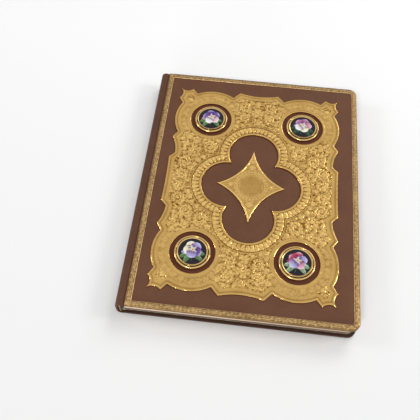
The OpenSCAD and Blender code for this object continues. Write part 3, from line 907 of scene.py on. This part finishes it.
FLOWERS = {
    "head_left": (12, [VIOLET, VIOLET, BLUSH, WHITE, VIOLET], GREEN, PINK),
    "head_right": (-20, [MAUVE, PINK, CREAM, WHITE, MAUVE], DEEP_GREEN, LILAC),
    "tail_left": (28, [CREAM, LILAC, VIOLET, LILAC, CREAM], GREEN, LILAC),
    "tail_right": (-8, [MAGENTA, LILAC, PINK, LILAC, MAGENTA], PALE_GREEN, MAGENTA),
}


def blot(canvas, color, mask):
    """Lays a colour over the canvas where the mask is near one."""
    canvas += (np.asarray(color) - canvas) * mask[:, None]


def petal_mask(p, centre, angle, length, width, pull=0.62):
    """Soft mask of a petal or leaf, with the run along it from its foot and across it."""
    a = math.radians(angle)
    d = p - np.array(centre)
    along = (d[:, 0] * math.cos(a) + d[:, 1] * math.sin(a)) / length
    across = (-d[:, 0] * math.sin(a) + d[:, 1] * math.cos(a)) / width
    run = np.clip(along, 1e-4, 1)
    half = np.sqrt(np.clip(1 - (2 * run ** pull - 1) ** 2, 0, 1))
    gap = half - np.abs(across)
    return ease(gap, 0.0, 0.14) * ((along > 0) & (along < 1)), run, across


def paint_flower(p, turn, petals, leaf, bud):
    """Colours of a five-petalled flower, four leaves and a bud on a dark ground."""
    canvas = np.tile(np.asarray(NIGHT), (len(p), 1))
    fleck = waver(p, 6, turn)
    p = p + 0.04 * np.c_[fleck, waver(p, 5, turn + 4)]
    stem, *_ = petal_mask(p, (0.02, 0.05), 262 + turn * 0.3, 0.86, 0.035, 0.5)
    blot(canvas, DEEP_GREEN, stem)
    for side, lean, size in ((-1, 196, 0.9), (1, 346, 0.86), (-1, 228, 0.94), (1, 312, 0.9)):
        mask, run, across = petal_mask(p, (0.04 * side, -0.1), lean + turn * 0.4, size, 0.22)
        shade = np.asarray(leaf) * (0.5 + 0.75 * ease(across * side + fleck * 0.5, -1, 1))[:, None]
        shade *= 1 - 0.5 * np.exp(-(across / 0.12) ** 2)[:, None]
        shade *= 0.82 + 0.18 * np.cos(run * 26 - np.abs(across) * 5)[:, None]
        blot(canvas, shade, mask)
    mask, run, _ = petal_mask(p, (-0.42, -0.1), 158 + turn, 0.34, 0.13)
    blot(canvas, bud, mask * (0.6 + 0.4 * run))
    heart = (0.02, 0.12)
    for k in (0, 1, 4, 2, 3):
        angle = 90 - 72 * k + turn
        mask, run, across = petal_mask(p, heart, angle, 0.68, 0.4, 0.8)
        streak = 0.5 + 0.5 * np.cos(across * 16 + fleck * 3)
        light = 0.62 + 0.45 * run + 0.12 * fleck - 0.1 * streak * (1 - run)
        body = np.asarray(petals[k]) * light[:, None]
        glow = ease(run, 0.72, 0.98) * 0.45
        blot(body, WHITE, glow)
        throat = 1 - ease(run, 0.12, 0.3)
        blot(body, np.asarray(WHITE) * 0.9, throat * 0.7)
        face = ease(run, 0.14, 0.22) * (1 - ease(run, 0.34, 0.6)) * (0.3 + 0.7 * streak)
        blot(body, MAROON, face * 0.8)
        edge = 1 - ease(1 - np.abs(across), 0.0, 0.3)
        body *= (1 - 0.5 * edge * (run > 0.2))[:, None]
        blot(canvas, body, mask)
    d = np.hypot(p[:, 0] - heart[0], p[:, 1] - heart[1])
    blot(canvas, YELLOW, 1 - ease(d, 0.07, 0.11))
    blot(canvas, BROWN, 1 - ease(d, 0.025, 0.05))
    return np.clip(canvas, 0, 1)


def make_medallion(place, sx, sy):
    centre = (PLATE_X + sx * MED_X, PLATE_Y + sy * MED_Y)
    base_z = PLATE_LO[2]
    verts, faces = revolve(bezel_profile(), centre, base_z, 128)
    verts = np.array(verts)
    height = verts[:, 2] - base_z
    rho = np.hypot(verts[:, 0] - centre[0], verts[:, 1] - centre[1])
    # Painted shade: the bezel's groove and its lower ring are darker, in place of dark reflections
    # and the shade beside the leather.
    level = np.clip(1.1 - np.exp(-((rho - 16.3) / 0.6) ** 2) - 0.5 * (height < 1), 0, 1)
    add_piece("bezel_" + place + "_ring", verts, faces, "front_cover",
              BEZEL_GOLD, ["bezel_" + place], attributes={"relief": level})

    wall_z = BEZEL_H - WALL_DEPTH
    rise = DOME_H + WALL_DEPTH
    dome_r = (ENAMEL_R ** 2 + rise ** 2) / (2 * rise)
    half_a = math.degrees(math.asin(ENAMEL_R / dome_r))
    cap = arc((0, wall_z + rise - dome_r), dome_r, 90 - half_a, 90, 64)
    back_z = BEZEL_FLOOR_T + GLUE
    flange_r = ENAMEL_R + FLANGE_W - GLUE
    flange_z = BEZEL_H - FLANGE_DEPTH - GLUE
    profile = [(0, back_z), (flange_r, back_z), (flange_r, flange_z), (ENAMEL_R, flange_z)] + cap
    verts, faces = revolve(profile, centre, base_z, 224)
    verts = np.array(verts)
    turn, petals, leaf, bud = FLOWERS[place]
    paint = paint_flower((verts[:, :2] - np.array(centre)) / ENAMEL_R, turn, petals, leaf, bud)
    add_piece("enamel_" + place + "_flower", verts, faces, "front_cover", ENAMEL,
              ["enamel_" + place], attributes={"paint": np.c_[paint, np.ones(len(paint))]})


for sx, across_name in ((-1, "left"), (1, "right")):
    for sy, along_name in ((1, "head"), (-1, "tail")):
        make_medallion(along_name + "_" + across_name, sx, sy)


# Gilt border

def border_path(step):
    """Outer line of the border with its inward direction, from the spine-side tail corner."""
    x0, x1, y1, r = BORDER_LO[0], BORDER_HI[0], COVER_HALF_H, CORNER_R
    path = []

    def straight(p, q, inward, first, last):
        n = max(2, math.ceil(math.dist(p, q) / step))
        for i in range(n + 1):
            t = i / n
            at = (p[0] + (q[0] - p[0]) * t, p[1] + (q[1] - p[1]) * t)
            turn = first if i == 0 else last if i == n else inward
            path.append((at, turn, inward))

    def corner(centre, a0):
        for a in np.radians(np.linspace(a0, a0 + 90, 20))[1:-1]:
            out = (math.cos(a), math.sin(a))
            at = (centre[0] + r * out[0], centre[1] + r * out[1])
            path.append((at, (-out[0], -out[1]), (-out[0], -out[1])))

    straight((x0, -y1), (x1 - r, -y1), (0, 1), (1, 1), (0, 1))
    corner((x1 - r, r - y1), -90)
    straight((x1, r - y1), (x1, y1 - r), (-1, 0), (-1, 0), (-1, 0))
    corner((x1 - r, y1 - r), 0)
    straight((x1 - r, y1), (x0, y1), (0, -1), (0, -1), (1, -1))
    straight((x0, y1), (x0, -y1), (1, 0), (1, -1), (1, 1))
    return path


def border_pattern(run, u):
    """Running vine pressed into the border, between two fine fillets."""
    v = (u - BORDER_W / 2) / (BORDER_W / 2)
    phase = 2 * math.pi * run / VINE_PITCH
    stem = dome(v - 0.36 * math.sin(phase), 0.13)
    best = np.maximum(stem, dome(np.abs(v) - 0.88, 0.1))
    for side in (-1, 1):
        along = (run / VINE_PITCH + 0.25 * side) % 1.0 - 0.5
        leaf = 1 - (along / 0.2) ** 2 - ((v + 0.34 * side) / 0.34) ** 2
        vein = 1 - 0.5 * math.exp(-(along / 0.03) ** 2)
        best = np.maximum(best, np.sqrt(np.clip(leaf, 0, 1)) * vein)
    return best


def make_border():
    path = border_path(0.7)
    run = 0.0
    across = np.linspace(math.pi, 0, 25)
    arch_u = BORDER_W / 2 * (1 + np.cos(across))
    arch_z = BORDER_H * np.sin(across)
    rows, level, previous = [], [], path[0][0]
    for at, turn, inward in path:
        run += math.dist(at, previous)
        previous = at
        spine_side = inward == (1, 0)
        pattern = border_pattern(run, arch_u)
        z = arch_z - 0.14 * (1 - pattern) * np.sin(across)
        if spine_side:
            outer, back, foot = [0.02, 0.03, 0.03], 0.3, 0.01
        else:
            outer, back, foot = [-BORDER_ROLL * k / 3 for k in (3, 2, 1)], 0.65, -BORDER_ROLL
        row = [(0.0, h) for h in outer] + [(u, GLUE + h) for u, h in zip(arch_u, z)]
        row += [(BORDER_W, GLUE / 2), (back, GLUE / 2), (back, foot)]
        rows.append([(at[0] + turn[0] * u, at[1] + turn[1] * u, TOP_Z + h) for u, h in row])
        # Painted shade: the outer slope of the arch is darker, and the rolled-over edge below it
        # takes the darkest tone.
        edge_shade = 0.3 + 0.7 * ease(arch_u, 0, 2.4)
        rubbed = waver([(run * 0.5, u * 0.8) for u in arch_u], 1, 6.2)
        tone = (0.16 + 0.56 * pattern + 0.4 * rubbed) * edge_shade
        level.append([0.0, 0.0, 0.0] + list(np.clip(tone, 0, 1)) + [0.2] * 3)
    count, width = len(rows), len(rows[0])
    verts = np.array(rows).reshape(-1, 3)
    faces = []
    for i in range(count):
        j = (i + 1) % count
        for k in range(width):
            m = (k + 1) % width
            faces.append((i * width + k, j * width + k, j * width + m, i * width + m))
    add_piece("gilt_border_band", verts, faces, "front_cover", BORDER_GOLD,
              ["gilt_border"], attributes={"relief": np.array(level).ravel()})


make_border()


# Covers

def cover_loop(x0, x1, y1, r, inset, n=14):
    """Outline of a cover, inset from its edge, anticlockwise from the tail at the spine."""
    x0, x1, y1 = x0 + inset, x1 - inset, y1 - inset
    r = max(r - inset, 0.2)
    loop = [(x0, -y1)]
    loop += arc((x1 - r, r - y1), r, -90, 0, n)
    loop += arc((x1 - r, y1 - r), r, 0, 90, n)
    loop += [(x0, y1)]
    return loop


def make_slab(name, lo, hi, corner_r, outer_up, edge_r, body, node, material):
    """Leather-covered board with softly rounded edges, closed all round."""
    angles = np.radians(np.linspace(0, 90, 7))
    inner_r = edge_r * 0.7
    thickness = hi[2] - lo[2]
    outer = [(edge_r - edge_r * math.sin(a), edge_r * (1 - math.cos(a))) for a in angles]
    inner = [(inner_r - inner_r * math.sin(a), thickness - inner_r * (1 - math.cos(a)))
             for a in reversed(angles)]
    rows = []
    for inset, depth in outer + inner:
        z = hi[2] - depth if outer_up else lo[2] + depth
        rows.append([(x, y, z) for x, y in cover_loop(lo[0], hi[0], hi[1], corner_r, inset)])
    verts, faces = tube(rows)
    if outer_up:
        faces = flipped(faces)
    add_piece(name, verts, faces, body, material, [node])


make_slab("front_cover_leather", FRONT_LO, FRONT_HI, CORNER_R - 0.7, True, 0.6,
          "front_cover", "front_leather", LEATHER)
make_slab("back_cover_leather", BACK_LO, BACK_HI, CORNER_R, False, 0.9,
          "back_cover", "back_leather", BACK_SKIN)


# Spine

def spine_line(off, x_end, n=12):
    """Section of the spine at a depth under its outer face, from the front joint round to the
    back joint, as points of x and z."""
    r = SPINE_R - off
    x0 = SPINE_LO[0] + off
    z0, z1 = SPINE_LO[2] + off, SPINE_HI[2] - off
    line = [(x_end, z1)]
    line += arc((x0 + r, z1 - r), r, 90, 180, n)
    line += arc((x0 + r, z0 + r), r, 180, 270, n)
    line += [(x_end, z0)]
    return line


def make_spine():
    """Leather round the spine, with rounded ends, turned in beside the page block."""
    x_end = SPINE_HI[0]
    half = SPINE_HI[1]
    cap_y = PAGES_HI[1] + GLUE
    edge_r = 0.7
    ends = sorted({(round(half - edge_r + edge_r * math.sin(a), 4),
                    round(edge_r * (1 - math.cos(a)), 4))
                   for a in np.radians(np.linspace(0, 90, 6))})
    ys = [(-y, e) for y, e in reversed(ends)] + [(0.0, 0.0)] + ends
    outer = [[(x, y, z) for x, z in spine_line(e, x_end)] for y, e in ys]
    inner = []
    for y in (-half + 0.02, -cap_y, -cap_y + 0.02, cap_y - 0.02, cap_y, half - 0.02):
        deep = LEATHER_T + (INLAY_T if abs(y) >= cap_y else 0)
        inner.append([(x, y, z) for x, z in spine_line(deep, x_end)])
    verts, faces = tube(np.array(outer + inner[::-1]).transpose(1, 0, 2))
    add_piece("spine_leather_wrap", verts, flipped(faces), "text_block",
              SPINE_SKIN, ["spine_leather"])


make_spine()


def make_joint(name, z_out, down, cover_x):
    """Flexible strip of leather that closes the groove between the spine and a cover."""
    lap, strip_t, sag, lift = 0.9, 0.35, 0.75, 0.12
    half = SPINE_HI[1] - 0.5
    t = np.linspace(0, 1, 13)
    xs = SPINE_HI[0] - lap + (cover_x - SPINE_HI[0] + 2 * lap) * t
    dip = lift + sag * np.sin(math.pi * t) ** 2
    top = list(zip(xs, z_out - down * dip))
    low = list(zip(xs, z_out - down * (dip + strip_t)))
    section = top + low[::-1]
    verts, faces = tube([[(x, y, z) for x, z in section] for y in (-half, 0, half)])
    if down > 0:
        faces = flipped(faces)
    strip = add_piece(name, verts, faces, None, SPINE_SKIN)
    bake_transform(strip)


make_joint("front_joint_leather", SPINE_HI[2], 1, FRONT_LO[0])
make_joint("back_joint_leather", SPINE_LO[2], -1, BACK_LO[0])


# Pages

def make_pages():
    """The page block, its three cut edges built up of sheets that lie slightly uneven."""
    x0, x1, y1 = SPINE_HI[0], PAGES_HI[0], PAGES_HI[1]
    z0, z1 = BACK_LEAF_HI[2] + GLUE, LEAF_LO[2] - GLUE
    layers = 72
    rows = []
    for k in range(layers + 1):
        z = z0 + (z1 - z0) * k / layers
        slip = 0.07 * noise.noise(Vector((k * 0.83, 4.1, 0))) + 0.05 * ((k * 7) % 5) / 5
        inset = 0.08 + max(slip, 0)
        loop = cover_loop(x0 - inset, x1, y1, PAGE_CORNER_R, inset, 10)
        rows.append([(x, y, z) for x, y in loop])
    verts, faces = tube(rows)
    add_piece("page_block", verts, faces, "text_block", EDGE_GOLD,
              ["pages"], smooth=False)


make_pages()


def make_endband(name, node):
    """Silk worked over a core: turns of thread in two colours across the block's thickness."""
    lo, hi = box_mm(node)
    centre = (lo + hi) / 2
    thread = 0.14
    core = (hi[0] - lo[0]) / 2 - thread
    turns, sides = 26, 16
    steps = turns * 8
    rows, level = [], []
    for s in range(steps + 1):
        t = s / steps
        r = core + 0.13 * abs(math.sin(math.pi * turns * t))
        z = lo[2] + (hi[2] - lo[2]) * t
        rows.append([(x, y, z) for x, y in arc(centre, r, 0, 360 - 360 / sides, sides - 1)])
        level += [0.2 if int(t * turns) % 2 else 0.8] * sides
    verts, faces = tube(rows)
    add_piece(name, verts, faces, "text_block", SILK, [node],
              attributes={"relief": np.array(level)})


make_endband("head_band_silk", "head_band")
make_endband("tail_band_silk", "tail_band")


# CAD nodes that keep their own shape

def dress(material, *nodes):
    for node in nodes:
        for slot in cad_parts[node].material_slots:
            slot.material = material


dress(PAPER, "front_flyleaf", "back_flyleaf", "front_pastedown", "back_pastedown")
dress(BOARD, "front_board", "back_board", "spine_inlay")
dress(CLOTH, "spine_lining")


# Floor, lights and world

def stage_material(name, near, far):
    """Matte floor that keeps its shadows and shows pale to the camera and in gloss, from the
    paleness near at the book's tail to far at its head, which is painted shade darker towards the
    tail, and with a painted glow that grows towards the horizon."""
    material = bpy.data.materials.new(name)
    material.use_nodes = True
    s = Nodes(material.node_tree)
    s.tree.nodes.clear()
    place = s.node("ShaderNodeTexCoord").outputs["Object"]
    along = s.node("ShaderNodeSeparateXYZ", {0: place}).outputs["Y"]
    path = s.node("ShaderNodeLightPath").outputs
    shown = s.math("MAXIMUM", path["Is Camera Ray"], path["Is Glossy Ray"])
    shown = s.math("MAXIMUM", shown, path["Is Transmission Ray"])
    plain = s.node("ShaderNodeBsdfDiffuse", {"Color": (0.35, 0.35, 0.35, 1)})
    seen = s.node("ShaderNodeBsdfDiffuse", {"Color": s.span(along, -0.3, 0.25, near, far)})
    mix = s.node("ShaderNodeMixShader", {0: shown, 1: plain.outputs[0], 2: seen.outputs[0]})
    horizon_glow = s.span(s.vector("LENGTH", place), 0.9, 3.2, 0.08, 0.7)
    glow = s.node("ShaderNodeEmission", {"Strength": shown, "Color": horizon_glow})
    lifted = s.node("ShaderNodeAddShader", {0: mix.outputs[0], 1: glow.outputs[0]})
    s.node("ShaderNodeOutputMaterial", {"Surface": lifted.outputs[0]})
    return material


def make_floor():
    size = 6.0
    corners = [(-size, -size, 0), (size, -size, 0), (size, size, 0), (-size, size, 0)]
    floor = link_mesh("floor", corners, [(0, 1, 2, 3)], stage_material("pale_floor", 0.75, 0.86))


def make_light(name, at, size, power, glossy=True):
    """Rectangular lamp that faces the book, with its place and size in metres."""
    data = bpy.data.lights.new(name, "AREA")
    data.shape = "RECTANGLE"
    data.size, data.size_y = size
    data.energy = power
    lamp = bpy.data.objects.new(name, data)
    lamp.location = at
    lamp.rotation_mode = "QUATERNION"
    lamp.rotation_quaternion = (-Vector(at)).to_track_quat("-Z", "Y")
    lamp.visible_glossy = glossy
    bpy.context.scene.collection.objects.link(lamp)


def make_world():
    """Pale studio: light falls from above, and gloss shows it brighter behind the camera."""
    world = bpy.data.worlds.new("studio")
    bpy.context.scene.world = world
    world.use_nodes = True
    s = Nodes(world.node_tree)
    coords = s.node("ShaderNodeTexCoord").outputs["Generated"]
    axes = s.node("ShaderNodeSeparateXYZ", {0: coords}).outputs

    def level(axis, *stops):
        """Greys along an axis of the sky, at places from minus one to one."""
        place = s.span(axes[axis], -1, 1, 0, 1)
        return s.ramp(place, *(((at + 1) / 2, (grey, grey, grey)) for at, grey in stops))

    across = level("Y", (-1, 1.0), (-0.3, 0.97), (0.2, 0.8), (0.45, 0.76), (0.7, 0.84),
                   (0.88, 0.6), (1, 0.3))
    gloss = s.math("MULTIPLY", across, level("Z", (0, 0.5), (0.4, 0.95), (0.6, 1)))
    soft = level("Z", (0, 0.2), (0.5, 0.3), (1, 0.37))
    path = s.node("ShaderNodeLightPath").outputs
    light = s.mix(path["Is Glossy Ray"], soft, gloss)
    shown = s.mix(path["Is Camera Ray"], light, (0.94, 0.94, 0.935))
    shade = s.tree.nodes["Background"]
    s.tree.links.new(shown, shade.inputs["Color"])
    shade.inputs["Strength"].default_value = 1.0


make_floor()
make_light("key", (0.6, 1.3, 1.5), (0.9, 0.9), 14, glossy=False)
make_light("back_right", (1.2, 1.5, 0.9), (0.8, 0.8), 5)
make_light("side_right", (1.5, 0.2, 1.1), (0.5, 0.5), 9)
make_light("front_box", (-0.5, -1.3, 1.5), (0.35, 0.35), 11)
make_light("left_box", (-1.5, 0.1, 1.0), (0.35, 0.35), 5)
make_light("front_low", (-0.6, -1.7, 0.17), (1.2, 0.2), 20, glossy=False)
make_world()
bpy.context.scene.view_settings.view_transform = "Standard"
